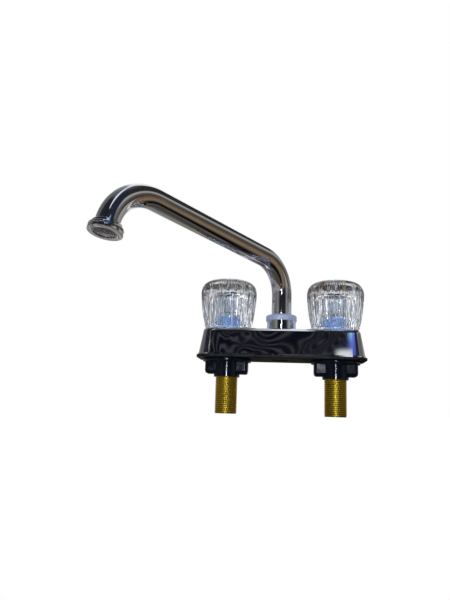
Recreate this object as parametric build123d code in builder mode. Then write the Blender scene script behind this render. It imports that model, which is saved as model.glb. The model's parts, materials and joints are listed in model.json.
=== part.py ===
from build123d import *
from math import cos, radians, sin, tan
import os

# A four inch centreset utility faucet with a swing spout that ends in a hose thread.
# Sizes are millimetres and degrees. The deck that the faucet stands on is the plane z = 0, and the
# spout swings about the z axis. The user stands on the -Y side, with hot at -X and cold at +X.

# Shared by all cuts
overrun = 1.0

# Inlets, four inches apart, with half inch pipe thread
inlet_spacing = 101.6
shank_diameter = 20.95
shank_bore = 15.0
shank_reach = 50.8
shank_engagement = 6.0
shank_chamfer = 0.8
shank_play = 0.5

# Base plate between the cover and the deck
plate_thickness = 2.5
plate_end_margin = 1.6
plate_side_margin = 0.6
plate_rim_height = 4.0
plate_rim_wall = 1.6
plate_rim_play = 0.3
plate_edge_chamfer = 0.6
plate_slot_length = 16.5
plate_slot_width = 7.0
plate_hole_spacing = 45.0
plate_hole_diameter = 3.4

# Drafted cover shell
cover_length = 153.6
cover_depth = 51.8
cover_height = 25.5
cover_draft = 10.5
cover_corner = 13.0
cover_top_round = 4.0
cover_wall = 1.5
cover_lip_height = 1.2
cover_lip_proud = 0.35
cover_hole_play = 0.2

# Waterway: two valve bodies and a spout hub, joined by a cross gallery
body_diameter = 26.0
body_lift = 0.5
body_bore = 18.9
body_web = 2.0
chamber_diameter = 15.6
chamber_height = 8.0
gallery_diameter = 12.6
gallery_bore = 6.6
gallery_rise = 3.5
hub_shoulder = 1.1
hub_floor = 3.0
hub_neck_diameter = 24.8
hub_neck_wall = 1.4
hub_neck_rise = 8.7
hub_ledge = 1.9
hub_chamber_height = 7.0

# Valve seats
seat_thread_diameter = 10.0
seat_diameter = 11.0
seat_height = 4.0
seat_crown_diameter = 9.2
seat_crown_height = 0.5
seat_bore = 7.2

# Bonnets that carry the stems, with their gaskets
gasket_thickness = 1.0
gasket_play = 0.15
thread_play = 0.05
bonnet_neck_diameter = 18.0
bonnet_bore = 13.0
bonnet_bore_depth = 12.0
bonnet_slot_width = 2.5
bonnet_slot_diameter = 15.6
bonnet_slot_length = 9.5
bonnet_shoulder = 20.5
bonnet_hex = 12.6
bonnet_hex_height = 2.5

# Serrated cover nuts
cover_nut_diameter = 23.0
cover_nut_height = 14.0
cover_nut_chamfer = 1.4
cover_nut_rib_count = 24
cover_nut_rib_depth = 0.7
cover_nut_band_start = 1.6
cover_nut_band_end = 2.2

# Stems
stem_diameter = 8.9
stem_play = 0.05
stem_flange_diameter = 12.6
stem_flange_height = 2.2
stem_flange_play = 0.3
stem_thread_depth = 9.5
stem_head_across = 8.0
stem_head_points = 12
stem_head_length = 13.4
stem_tap_depth = 8.5
clip_thickness = 1.1
clip_diameter = 12.0
clip_groove_diameter = 7.2
clip_gap = 5.0
stem_oring_section = 1.2
stem_oring_drop = 1.8
oring_groove_slack = 0.4
oring_inset = 0.1

# Plungers, which lift by a stem thread
plunger_play = 0.05
plunger_length = 8.5
plunger_lug_diameter = 15.2
plunger_lug_width = 2.3
plunger_lug_length = 5.0
plunger_stud_diameter = 5.8
plunger_stud_length = 9.0
seat_washer_diameter = 10.8
seat_washer_thickness = 2.5
washer_rim_diameter = 12.4
washer_rim_depth = 1.3
washer_play = 0.1
washer_screw_head_diameter = 4.8
washer_screw_head_height = 1.5
washer_screw_diameter = 2.6
washer_screw_length = 5.5

# Fluted acrylic knobs
knob_lift = 1.2
knob_height = 45.8
knob_diameter = 53.8
knob_foot_diameter = 44.0
knob_waist_diameter = 50.8
knob_waist_share = 0.37
knob_shoulder = 11.5
knob_flute_count = 16
knob_flute_radius = 6.2
knob_flute_depth = 1.3
knob_flute_tilt = 5.5
knob_cavity_foot_diameter = 37.0
knob_cavity_top_diameter = 31.0
knob_cavity_height = 30.0
knob_hub_diameter = 16.0
knob_hub_lift = 16.3
knob_broach_play = 0.1
knob_screw_web = 5.0
knob_counterbore = 9.0
knob_recess_diameter = 18.0
knob_recess_depth = 2.2
knob_foot_round = 1.0

# Knob screws and index buttons
knob_screw_diameter = 3.9
knob_screw_play = 0.3
knob_screw_reach = 7.5
knob_screw_head_diameter = 7.2
knob_screw_head_height = 2.4
knob_screw_slot_width = 1.0
knob_screw_slot_depth = 1.2
button_play = 0.05
button_crown = 0.5
button_plug_length = 4.0
button_plug_wall = 1.2

# Swing spout
spout_reach = 203.2
spout_swing = 51.0
spout_tube_wall = 1.0
spout_rise = 62.0
spout_foot_bend = 34.0
spout_slope = 7.8
spout_outlet_bend = 38.0
spout_outlet_lean = 11.5
spout_outlet_length = 8.0

# Turned end at the foot of the spout, with its two O-rings
spout_end_wall = 2.85
spigot_step = 0.95
spigot_play = 0.05
spigot_length = 11.7
spigot_lift = 0.3
socket_wall = 1.225
socket_play = 0.2
socket_length = 6.2
socket_floor = 1.3
socket_drop = 0.3
braze_gap = 0.05
spout_oring_section = 1.4
spout_oring_spacing = 5.0

# Knurled spout nut and its washer
spout_nut_wall = 1.25
spout_nut_crown_proud = 0.98
spout_nut_height = 14.6
spout_nut_crown_height = 5.8
spout_nut_crown_round = 1.8
spout_nut_under_round = 0.7
spout_nut_hole_play = 0.3
spout_washer_thickness = 1.8
spout_washer_play = 0.2

# Hose fitting at the outlet, with a three quarter inch hose thread
hose_thread_diameter = 27.0
hose_thread_length = 5.0
hose_collar_wall = 1.825
hose_mouth_inset = 0.525
hose_mouth_depth = 1.5
hose_edge_chamfer = 0.5
hose_collar_chamfer = 0.6

# Winged mounting nuts
mount_nut_play = 0.1
mount_nut_flange_diameter = 46.0
mount_nut_flange_thickness = 2.8
mount_nut_flange_round = 0.8
mount_nut_hub_diameter = 24.4
mount_nut_height = 16.8
mount_nut_groove_drop = 9.0
mount_nut_groove_width = 0.8
mount_nut_groove_depth = 0.5
mount_nut_wing_span = 40.6
mount_nut_wing_thickness = 15.0
mount_nut_wing_drop = 14.2
mount_nut_wing_corner = 3.2
mount_nut_wing_edge = 3.0

# Heights and radii that the pieces share
valve_offset = inlet_spacing / 2
cover_top = plate_thickness + cover_height
cover_underside = cover_top - cover_wall
body_bottom = plate_thickness + body_lift
shank_top = body_bottom + shank_engagement
chamber_bottom = shank_top + body_web
gasket_bottom = chamber_bottom + chamber_height
bonnet_bottom = gasket_bottom + gasket_thickness
gallery_height = chamber_bottom + gallery_rise
seat_top = chamber_bottom + seat_height
seat_face = seat_top + seat_crown_height
shoulder_height = bonnet_bottom + bonnet_bore_depth
bonnet_top = bonnet_bottom + bonnet_shoulder + bonnet_hex_height
cover_nut_top = cover_top + cover_nut_height
stem_bottom = shoulder_height - stem_flange_play - stem_flange_height
clip_top = bonnet_top + clip_thickness
stem_top = clip_top + stem_head_length
plunger_bottom = seat_face + seat_washer_thickness
plunger_top = plunger_bottom + plunger_length
knob_bottom = cover_top + knob_lift
knob_top = knob_bottom + knob_height
knob_screw_seat = stem_top + knob_screw_web
hub_chamber_bottom = chamber_bottom
hub_bottom = hub_chamber_bottom - hub_floor
spigot_seat = hub_chamber_bottom + hub_chamber_height
neck_top = cover_top + hub_neck_rise
spigot_bottom = spigot_seat + spigot_lift
socket_bottom = spigot_bottom + spigot_length
socket_top = neck_top - socket_drop
tube_seat = socket_top - socket_length + socket_floor
spout_washer_top = neck_top + spout_washer_thickness
spout_nut_top = cover_top + spout_nut_height
bonnet_sleeve_diameter = body_bore - 2 * thread_play
cover_hole_diameter = bonnet_sleeve_diameter + 2 * cover_hole_play
spout_hole_diameter = hub_neck_diameter + 2 * cover_hole_play

# The spout follows the neck of its hub, from the socket inwards
hub_diameter = hub_neck_diameter + 2 * hub_shoulder
socket_bore = hub_neck_diameter - 2 * hub_neck_wall
socket_diameter = socket_bore - 2 * socket_play
spigot_diameter = socket_diameter - 2 * spigot_step
spigot_bore = spigot_diameter + 2 * spigot_play
spout_end_bore = spigot_diameter - 2 * spout_end_wall
hub_chamber_diameter = spigot_bore - 2 * hub_ledge
spout_tube_diameter = socket_diameter - 2 * (socket_wall + braze_gap)
hose_collar_diameter = spout_tube_diameter + 2 * (braze_gap + hose_collar_wall)
hose_mouth_diameter = spout_tube_diameter - 2 * hose_mouth_inset
spout_nut_bore = hub_neck_diameter + 2 * thread_play
spout_nut_skirt_diameter = spout_nut_bore + 2 * spout_nut_wall
spout_nut_crown_diameter = spout_nut_skirt_diameter + 2 * spout_nut_crown_proud
valves = (("hot", -valve_offset), ("cold", valve_offset))


def upright(x):
    """Vertical plane through x, with radii along its own x and heights along its own y."""
    return Plane(origin=(x, 0, 0), x_dir=(1, 0, 0), z_dir=(0, -1, 0))


def vertical_axis(x):
    """Turning axis of a valve or of the spout hub."""
    return Axis((x, 0, 0), (0, 0, 1))


def save(builder, name):
    """Label one finished piece and write it."""
    builder.part.label = name
    export_step(builder.part, f"parts/{name}.step")


def turn(x, points, mode=Mode.ADD):
    """Turn a closed outline of radius and height points about the vertical axis at x."""
    with BuildSketch(upright(x)) as outline:
        with BuildLine():
            Polyline(points, close=True)
        make_face()
    revolve(outline.sketch, axis=vertical_axis(x), mode=mode)


def ring(x, inner_radius, outer_radius, bottom, top):
    """A plain turned ring."""
    turn(x, [(inner_radius, bottom), (outer_radius, bottom), (outer_radius, top), (inner_radius, top)])


# Base plate: a flat plate with a locating rim that stands inside the cover
rim_inset = cover_wall + plate_rim_play + plate_rim_height * tan(radians(cover_draft))
rim_length = cover_length - 2 * rim_inset
rim_depth = cover_depth - 2 * rim_inset
rim_corner = cover_corner - rim_inset

with BuildPart() as base_plate:
    with BuildSketch():
        RectangleRounded(
            cover_length + 2 * plate_end_margin,
            cover_depth + 2 * plate_side_margin,
            cover_corner + plate_side_margin,
        )
    extrude(amount=plate_thickness)
    chamfer(base_plate.edges().group_by(Axis.Z)[0], plate_edge_chamfer)
    with BuildSketch(Plane.XY.offset(plate_thickness)):
        RectangleRounded(rim_length, rim_depth, rim_corner)
        RectangleRounded(
            rim_length - 2 * plate_rim_wall,
            rim_depth - 2 * plate_rim_wall,
            rim_corner - plate_rim_wall,
            mode=Mode.SUBTRACT,
        )
    extrude(amount=plate_rim_height)
    with BuildSketch():
        with GridLocations(inlet_spacing, 0, 2, 1):
            Circle(shank_diameter / 2 + shank_play)
        with GridLocations(plate_hole_spacing, 0, 2, 1):
            Circle(plate_hole_diameter / 2)
        SlotOverall(plate_slot_length, plate_slot_width)
    extrude(amount=plate_thickness, mode=Mode.SUBTRACT)
save(base_plate, "base_plate")


# Deck cover: a drafted, hollow shell with a small lip, and holes for the valves and the spout
with BuildPart() as deck_cover:
    with BuildSketch(Plane.XY.offset(plate_thickness)):
        RectangleRounded(cover_length, cover_depth, cover_corner)
    extrude(amount=cover_height, taper=cover_draft)
    fillet(deck_cover.edges().group_by(Axis.Z)[-1], cover_top_round)
    offset(amount=-cover_wall, openings=deck_cover.faces().sort_by(Axis.Z)[0])
    with BuildSketch(Plane.XY.offset(plate_thickness)):
        RectangleRounded(
            cover_length + 2 * cover_lip_proud,
            cover_depth + 2 * cover_lip_proud,
            cover_corner + cover_lip_proud,
        )
        RectangleRounded(
            cover_length - 2 * cover_wall,
            cover_depth - 2 * cover_wall,
            cover_corner - cover_wall,
            mode=Mode.SUBTRACT,
        )
    extrude(amount=cover_lip_height)
    with BuildSketch(Plane.XY.offset(cover_top)):
        with GridLocations(inlet_spacing, 0, 2, 1):
            Circle(cover_hole_diameter / 2)
        Circle(spout_hole_diameter / 2)
    extrude(amount=-cover_wall - overrun, mode=Mode.SUBTRACT)
save(deck_cover, "deck_cover")


# Waterway: the brass body under the cover
with BuildPart() as waterway:
    with BuildSketch(Plane.XY.offset(body_bottom)):
        with GridLocations(inlet_spacing, 0, 2, 1):
            Circle(body_diameter / 2)
    extrude(amount=cover_underside - body_bottom)
    with BuildSketch(Plane.YZ.offset(-valve_offset)):
        with Locations((0, gallery_height)):
            Circle(gallery_diameter / 2)
    extrude(amount=inlet_spacing)
    turn(0, [
        (0, hub_bottom),
        (hub_diameter / 2, hub_bottom),
        (hub_diameter / 2, cover_underside),
        (hub_neck_diameter / 2, cover_underside),
        (hub_neck_diameter / 2, neck_top),
        (0, neck_top),
    ])
    for _, x in valves:
        turn(x, [
            (0, body_bottom - overrun),
            (shank_diameter / 2 + thread_play, body_bottom - overrun),
            (shank_diameter / 2 + thread_play, shank_top),
            (seat_thread_diameter / 2 + thread_play, shank_top),
            (seat_thread_diameter / 2 + thread_play, chamber_bottom),
            (chamber_diameter / 2, chamber_bottom),
            (chamber_diameter / 2, gasket_bottom),
            (body_bore / 2, gasket_bottom),
            (body_bore / 2, cover_underside + overrun),
            (0, cover_underside + overrun),
        ], mode=Mode.SUBTRACT)
    turn(0, [
        (0, hub_chamber_bottom),
        (hub_chamber_diameter / 2, hub_chamber_bottom),
        (hub_chamber_diameter / 2, spigot_seat),
        (spigot_bore / 2, spigot_seat),
        (spigot_bore / 2, socket_bottom),
        (socket_bore / 2, socket_bottom),
        (socket_bore / 2, neck_top + overrun),
        (0, neck_top + overrun),
    ], mode=Mode.SUBTRACT)
    with BuildSketch(Plane.YZ.offset(-valve_offset)):
        with Locations((0, gallery_height)):
            Circle(gallery_bore / 2)
    extrude(amount=inlet_spacing, mode=Mode.SUBTRACT)
save(waterway, "waterway")


def make_shank(side, x):
    """Inlet shank, screwed into the valve body from below."""
    with BuildPart() as shank:
        with BuildSketch(Plane((x, 0, -shank_reach))):
            Circle(shank_diameter / 2)
            Circle(shank_bore / 2, mode=Mode.SUBTRACT)
        extrude(amount=shank_reach + shank_top)
        foot = shank.faces().sort_by(Axis.Z)[0]
        chamfer(foot.outer_wire().edges(), shank_chamfer)
    save(shank, f"{side}_shank")


def make_mounting_nut(side, x):
    """Winged nut: a flange against the deck, a grooved hub and two broad wings."""
    bore = shank_diameter / 2 + mount_nut_play
    hub = mount_nut_hub_diameter / 2
    groove_top = -mount_nut_groove_drop
    with BuildPart() as nut:
        with BuildSketch(upright(x)):
            with Locations((0, -mount_nut_wing_drop / 2)):
                Rectangle(mount_nut_wing_span, mount_nut_wing_drop)
        extrude(amount=mount_nut_wing_thickness / 2, both=True)
        fillet(nut.edges().filter_by(Axis.Z), mount_nut_wing_edge)
        fillet(nut.edges().group_by(Axis.Z)[0], mount_nut_wing_corner)
        turn(x, [
            (0, 0),
            (hub, 0),
            (hub, groove_top),
            (hub - mount_nut_groove_depth, groove_top),
            (hub - mount_nut_groove_depth, groove_top - mount_nut_groove_width),
            (hub, groove_top - mount_nut_groove_width),
            (hub, -mount_nut_height),
            (0, -mount_nut_height),
        ])
        with BuildSketch(Plane((x, 0, 0))):
            Circle(mount_nut_flange_diameter / 2)
        extrude(amount=-mount_nut_flange_thickness)
        rims = nut.edges().filter_by(GeomType.CIRCLE)
        rims = rims.filter_by(lambda rim: rim.radius > mount_nut_wing_span / 2)
        fillet(rims, mount_nut_flange_round)
        with BuildSketch(Plane((x, 0, overrun))):
            Circle(bore)
        extrude(amount=-mount_nut_height - 2 * overrun, mode=Mode.SUBTRACT)
    save(nut, f"{side}_mounting_nut")


def make_seat(side, x):
    """Valve seat, screwed into the web over the shank, with a raised crown."""
    with BuildPart() as seat:
        turn(x, [
            (seat_bore / 2, shank_top),
            (seat_thread_diameter / 2, shank_top),
            (seat_thread_diameter / 2, chamber_bottom),
            (seat_diameter / 2, chamber_bottom),
            (seat_diameter / 2, seat_top),
            (seat_crown_diameter / 2, seat_face),
            (seat_bore / 2, seat_face),
        ])
    save(seat, f"{side}_seat")


def make_bonnet(side, x):
    """Bonnet: a slotted sleeve that guides the plunger, a shoulder for the stem and a wrench hexagon."""
    neck = bonnet_neck_diameter / 2
    stem_bore = stem_diameter / 2 + stem_play
    hex_bottom = bonnet_top - bonnet_hex_height
    with BuildPart() as bonnet:
        turn(x, [
            (bonnet_bore / 2, bonnet_bottom),
            (bonnet_sleeve_diameter / 2, bonnet_bottom),
            (bonnet_sleeve_diameter / 2, cover_underside),
            (neck, cover_underside),
            (neck, hex_bottom),
            (stem_bore, hex_bottom),
            (stem_bore, shoulder_height),
            (bonnet_bore / 2, shoulder_height),
        ])
        with BuildSketch(Plane((x, 0, hex_bottom))):
            RegularPolygon(bonnet_hex / 2, 6, major_radius=False)
            Circle(stem_bore, mode=Mode.SUBTRACT)
        extrude(amount=bonnet_hex_height)
        with BuildSketch(Plane((x, 0, bonnet_bottom))):
            Rectangle(bonnet_slot_diameter, bonnet_slot_width)
        extrude(amount=bonnet_slot_length, mode=Mode.SUBTRACT)
    save(bonnet, f"{side}_bonnet")


def make_bonnet_gasket(side, x):
    """Gasket between the ledge in the valve body and the sleeve of the bonnet."""
    with BuildPart() as gasket:
        ring(
            x,
            chamber_diameter / 2,
            body_bore / 2 - gasket_play,
            gasket_bottom,
            bonnet_bottom,
        )
    save(gasket, f"{side}_bonnet_gasket")


def make_cover_nut(side, x):
    """Serrated nut on the neck of the bonnet, which clamps the cover."""
    outer = cover_nut_diameter / 2
    band_bottom = cover_top + cover_nut_band_start
    band_height = cover_nut_height - cover_nut_band_start - cover_nut_band_end
    with BuildPart() as cover_nut:
        turn(x, [
            (bonnet_neck_diameter / 2 + thread_play, cover_top),
            (outer, cover_top),
            (outer, cover_nut_top - cover_nut_chamfer),
            (outer - cover_nut_chamfer, cover_nut_top),
            (bonnet_neck_diameter / 2 + thread_play, cover_nut_top),
        ])
        with BuildSketch(Plane((x, 0, band_bottom))):
            with PolarLocations(outer, cover_nut_rib_count):
                Rectangle(2 * cover_nut_rib_depth, 2 * cover_nut_rib_depth, rotation=45)
        extrude(amount=band_height, mode=Mode.SUBTRACT)
    save(cover_nut, f"{side}_cover_nut")


def make_stem(side, x):
    """Stem: a threaded barrel, a thrust flange, a sealed journal and a pointed head for the knob."""
    journal = stem_diameter / 2
    thread = plunger_stud_diameter / 2 + thread_play
    flange = stem_flange_diameter / 2
    flange_top = stem_bottom + stem_flange_height
    groove_top = bonnet_top - stem_oring_drop
    groove_bottom = groove_top - stem_oring_section - oring_groove_slack
    groove = journal - oring_inset - stem_oring_section
    clip_groove = clip_groove_diameter / 2
    with BuildPart() as stem:
        turn(x, [
            (0, stem_bottom),
            (flange, stem_bottom),
            (flange, flange_top),
            (journal, flange_top),
            (journal, groove_bottom),
            (groove, groove_bottom),
            (groove, groove_top),
            (journal, groove_top),
            (journal, bonnet_top),
            (clip_groove, bonnet_top),
            (clip_groove, clip_top),
            (0, clip_top),
        ])
        with BuildSketch(Plane((x, 0, clip_top))):
            RegularPolygon(stem_head_across / 2, stem_head_points)
        extrude(amount=stem_head_length)
        with BuildSketch(Plane((x, 0, stem_bottom))):
            Circle(thread)
        extrude(amount=stem_thread_depth, mode=Mode.SUBTRACT)
        with BuildSketch(Plane((x, 0, stem_top))):
            Circle(knob_screw_diameter / 2 + thread_play)
        extrude(amount=-stem_tap_depth, mode=Mode.SUBTRACT)
    save(stem, f"{side}_stem")


def make_stem_clip(side, x):
    """Open clip in the stem's groove, resting on the top of the bonnet."""
    with BuildPart() as clip:
        with BuildSketch(Plane((x, 0, bonnet_top))):
            Circle(clip_diameter / 2)
            Circle(clip_groove_diameter / 2, mode=Mode.SUBTRACT)
            with Locations((0, -clip_diameter / 2)):
                Rectangle(clip_gap, clip_diameter, mode=Mode.SUBTRACT)
        extrude(amount=clip_thickness)
    save(clip, f"{side}_stem_clip")


def make_stem_oring(side, x):
    """O-ring in the groove of the stem's journal."""
    section = stem_oring_section / 2
    centre_radius = stem_diameter / 2 - oring_inset - section
    centre_height = bonnet_top - stem_oring_drop - oring_groove_slack / 2 - section
    with BuildPart() as oring:
        with BuildSketch(upright(x)):
            with Locations((centre_radius, centre_height)):
                Circle(section)
        revolve(axis=vertical_axis(x))
    save(oring, f"{side}_stem_oring")


def make_plunger(side, x):
    """Plunger: a round guide with two lugs, a stud for the stem and a rimmed foot for the washer."""
    guide = bonnet_bore / 2 - plunger_play
    screw = washer_screw_diameter / 2
    foot = washer_rim_diameter / 2
    washer_pocket = seat_washer_diameter / 2 + washer_play
    with BuildPart() as plunger:
        turn(x, [
            (0, plunger_bottom),
            (washer_pocket, plunger_bottom),
            (washer_pocket, plunger_bottom - washer_rim_depth),
            (foot, plunger_bottom - washer_rim_depth),
            (foot, bonnet_bottom),
            (guide, bonnet_bottom),
            (guide, plunger_top),
            (plunger_stud_diameter / 2, plunger_top),
            (plunger_stud_diameter / 2, plunger_top + plunger_stud_length),
            (0, plunger_top + plunger_stud_length),
        ])
        with BuildSketch(Plane((x, 0, plunger_top))):
            Rectangle(plunger_lug_diameter, plunger_lug_width)
        extrude(amount=-plunger_lug_length)
        with BuildSketch(Plane((x, 0, plunger_bottom))):
            Circle(screw + thread_play)
        extrude(amount=washer_screw_length, mode=Mode.SUBTRACT)
    save(plunger, f"{side}_plunger")


def make_seat_washer(side, x):
    """Flat rubber washer that closes on the seat."""
    with BuildPart() as washer:
        ring(
            x,
            washer_screw_diameter / 2 + washer_play,
            seat_washer_diameter / 2,
            seat_face,
            plunger_bottom,
        )
    save(washer, f"{side}_seat_washer")


def make_washer_screw(side, x):
    """Screw that holds the washer to the plunger, with its head inside the seat."""
    with BuildPart() as screw:
        with BuildSketch(Plane((x, 0, seat_face))):
            Circle(washer_screw_head_diameter / 2)
        extrude(amount=-washer_screw_head_height)
        with BuildSketch(Plane((x, 0, seat_face))):
            Circle(washer_screw_diameter / 2)
        extrude(amount=seat_washer_thickness + washer_screw_length - washer_play)
    save(screw, f"{side}_washer_screw")


def make_knob(side, x):
    """Fluted knob: a tapered cup with a rounded shoulder, a broached hub and a recess in its top."""
    foot = knob_foot_diameter / 2
    waist = knob_waist_diameter / 2
    widest = knob_diameter / 2
    waist_height = knob_bottom + knob_waist_share * knob_height
    widest_height = knob_top - knob_shoulder
    flat = widest - knob_shoulder
    shoulder_mid = (
        flat + knob_shoulder * cos(radians(45)),
        widest_height + knob_shoulder * sin(radians(45)),
    )
    hub_bottom = knob_bottom + knob_hub_lift
    cavity_top = knob_bottom + knob_cavity_height
    with BuildPart() as knob:
        with BuildSketch(upright(x)):
            with BuildLine():
                Line((0, knob_bottom), (foot, knob_bottom))
                ThreePointArc((foot, knob_bottom), (waist, waist_height), (widest, widest_height))
                ThreePointArc((widest, widest_height), shoulder_mid, (flat, knob_top))
                Line((flat, knob_top), (0, knob_top))
                Line((0, knob_top), (0, knob_bottom))
            make_face()
        revolve(axis=vertical_axis(x))
        fillet(knob.edges().group_by(Axis.Z)[0], knob_foot_round)
        turn(x, [
            (0, knob_bottom),
            (knob_cavity_foot_diameter / 2, knob_bottom),
            (knob_cavity_top_diameter / 2, cavity_top),
            (knob_hub_diameter / 2, cavity_top),
            (knob_hub_diameter / 2, hub_bottom),
            (0, hub_bottom),
        ], mode=Mode.SUBTRACT)
        with BuildSketch(Plane((x, 0, hub_bottom))):
            RegularPolygon(stem_head_across / 2 + knob_broach_play, stem_head_points)
        extrude(amount=stem_top - hub_bottom, mode=Mode.SUBTRACT)
        with BuildSketch(Plane((x, 0, stem_top))):
            Circle(knob_screw_diameter / 2 + knob_screw_play)
        extrude(amount=knob_screw_web, mode=Mode.SUBTRACT)
        with BuildSketch(Plane((x, 0, knob_screw_seat))):
            Circle(knob_counterbore / 2)
        extrude(amount=knob_top - knob_screw_seat, mode=Mode.SUBTRACT)
        with BuildSketch(Plane((x, 0, knob_top))):
            Circle(knob_recess_diameter / 2)
        extrude(amount=-knob_recess_depth, mode=Mode.SUBTRACT)
        cutter_radius = widest - knob_flute_depth + knob_flute_radius
        lean = sin(radians(knob_flute_tilt))
        for flute in range(knob_flute_count):
            heading = radians(360 * flute / knob_flute_count)
            outward = (cos(heading), sin(heading))
            cutter_plane = Plane(
                origin=(x + cutter_radius * outward[0], cutter_radius * outward[1], widest_height),
                z_dir=(lean * outward[0], lean * outward[1], cos(radians(knob_flute_tilt))),
            )
            with BuildSketch(cutter_plane):
                Circle(knob_flute_radius)
            extrude(amount=knob_height, both=True, mode=Mode.SUBTRACT)
    save(knob, f"{side}_knob")


def make_knob_screw(side, x):
    """Slotted screw that holds the knob on its stem."""
    head_top = knob_screw_seat + knob_screw_head_height
    with BuildPart() as screw:
        turn(x, [
            (0, stem_top - knob_screw_reach),
            (knob_screw_diameter / 2, stem_top - knob_screw_reach),
            (knob_screw_diameter / 2, knob_screw_seat),
            (knob_screw_head_diameter / 2, knob_screw_seat),
            (knob_screw_head_diameter / 2, head_top),
            (0, head_top),
        ])
        with BuildSketch(Plane((x, 0, head_top))):
            Rectangle(knob_screw_head_diameter, knob_screw_slot_width)
        extrude(amount=-knob_screw_slot_depth, mode=Mode.SUBTRACT)
    save(screw, f"{side}_knob_screw")


def make_button(side, x):
    """Plain domed index button with a hollow plug that presses into the knob's counterbore."""
    face_radius = knob_recess_diameter / 2 - button_play
    plug = knob_counterbore / 2 - button_play
    bore = plug - button_plug_wall
    floor = knob_top - knob_recess_depth
    plug_end = floor - button_plug_length
    dome_top = knob_top + button_crown
    dome_radius = (face_radius ** 2 + button_crown ** 2) / (2 * button_crown)
    dome_mid = face_radius / 2
    dome_mid_height = dome_top - dome_radius + (dome_radius ** 2 - dome_mid ** 2) ** 0.5
    with BuildPart() as button:
        with BuildSketch(upright(x)):
            with BuildLine():
                Polyline(
                    (0, dome_top),
                    (0, floor),
                    (bore, floor),
                    (bore, plug_end),
                    (plug, plug_end),
                    (plug, floor),
                    (face_radius, floor),
                    (face_radius, knob_top),
                )
                ThreePointArc((face_radius, knob_top), (dome_mid, dome_mid_height), (0, dome_top))
            make_face()
        revolve(axis=vertical_axis(x))
    save(button, f"{side}_button")


for side, x in valves:
    make_shank(side, x)
    make_mounting_nut(side, x)
    make_seat(side, x)
    make_bonnet(side, x)
    make_bonnet_gasket(side, x)
    make_cover_nut(side, x)
    make_stem(side, x)
    make_stem_clip(side, x)
    make_stem_oring(side, x)
    make_plunger(side, x)
    make_seat_washer(side, x)
    make_washer_screw(side, x)
    make_knob(side, x)
    make_knob_screw(side, x)
    make_button(side, x)


# Spout tube: up out of the hub, over in a wide bend, out along a gentle slope and down to the outlet
swing = radians(spout_swing)
slope = radians(spout_slope)
lean = radians(spout_outlet_lean)
spout_plane = Plane(
    origin=(0, 0, 0),
    x_dir=(-cos(swing), -sin(swing), 0),
    z_dir=(-sin(swing), cos(swing), 0),
)
bend_reach = (
    spout_foot_bend * (1 - sin(slope))
    + spout_outlet_bend * (sin(slope) + cos(lean))
    + spout_outlet_length * sin(lean)
)
spout_run = (spout_reach - bend_reach) / cos(slope)

with BuildPart() as spout_tube:
    with BuildLine(spout_plane) as spout_line:
        riser = Line((0, tube_seat), (0, spout_rise))
        foot_bend = JernArc(riser @ 1, riser % 1, spout_foot_bend, spout_slope - 90)
        arm = PolarLine(foot_bend @ 1, spout_run, direction=foot_bend % 1)
        outlet_bend = JernArc(
            arm @ 1, arm % 1, spout_outlet_bend, spout_outlet_lean - spout_slope - 90
        )
        outlet_end = PolarLine(
            outlet_bend @ 1, spout_outlet_length - hose_mouth_depth, direction=outlet_bend % 1
        )
    with BuildSketch(Plane.XY.offset(tube_seat)):
        Circle(spout_tube_diameter / 2)
        Circle(spout_tube_diameter / 2 - spout_tube_wall, mode=Mode.SUBTRACT)
    sweep()
save(spout_tube, "spout_tube")


# Hose fitting: a collar and a threaded rim brazed round the end of the tube
flow = outlet_bend % 1
mouth = outlet_bend @ 1 + flow * spout_outlet_length
mouth_plane = Plane(origin=mouth, z_dir=flow)
hose_collar_length = spout_outlet_length - hose_thread_length

with BuildPart() as hose_fitting:
    with BuildSketch(mouth_plane):
        Circle(hose_thread_diameter / 2)
    extrude(amount=-hose_thread_length)
    thread_rims = hose_fitting.edges().filter_by(GeomType.CIRCLE)
    chamfer(thread_rims, hose_edge_chamfer)
    with BuildSketch(mouth_plane.offset(-hose_thread_length)):
        Circle(hose_collar_diameter / 2)
    extrude(amount=-hose_collar_length)
    rims_along_flow = hose_fitting.edges().filter_by(GeomType.CIRCLE).sort_by(Axis(mouth, flow))
    chamfer(rims_along_flow[0], hose_collar_chamfer)
    with BuildSketch(mouth_plane.offset(-spout_outlet_length)):
        Circle(spout_tube_diameter / 2 + braze_gap)
    extrude(amount=spout_outlet_length - hose_mouth_depth, mode=Mode.SUBTRACT)
    with BuildSketch(mouth_plane):
        Circle(hose_mouth_diameter / 2)
    extrude(amount=-hose_mouth_depth, mode=Mode.SUBTRACT)
save(hose_fitting, "hose_fitting")


# Spout end: a spigot with two O-ring grooves, and a socket for the tube
spigot = spigot_diameter / 2
groove_radius = spigot - oring_inset - spout_oring_section
groove_height = spout_oring_section + oring_groove_slack
spigot_middle = (spigot_bottom + socket_bottom) / 2
oring_heights = (
    spigot_middle - spout_oring_spacing / 2,
    spigot_middle + spout_oring_spacing / 2,
)
socket_shoulder = socket_top - socket_length

with BuildPart() as spout_end:
    turn(0, [
        (spout_end_bore / 2, spigot_bottom),
        (spigot, spigot_bottom),
        (spigot, socket_shoulder),
        (socket_diameter / 2, socket_shoulder),
        (socket_diameter / 2, socket_top),
        (spout_tube_diameter / 2 + braze_gap, socket_top),
        (spout_tube_diameter / 2 + braze_gap, tube_seat),
        (spout_end_bore / 2, tube_seat),
    ])
    for height in oring_heights:
        with BuildSketch(upright(0)):
            with Locations((spigot, height)):
                Rectangle(2 * (spigot - groove_radius), groove_height)
        revolve(axis=vertical_axis(0), mode=Mode.SUBTRACT)
save(spout_end, "spout_end")

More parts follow.
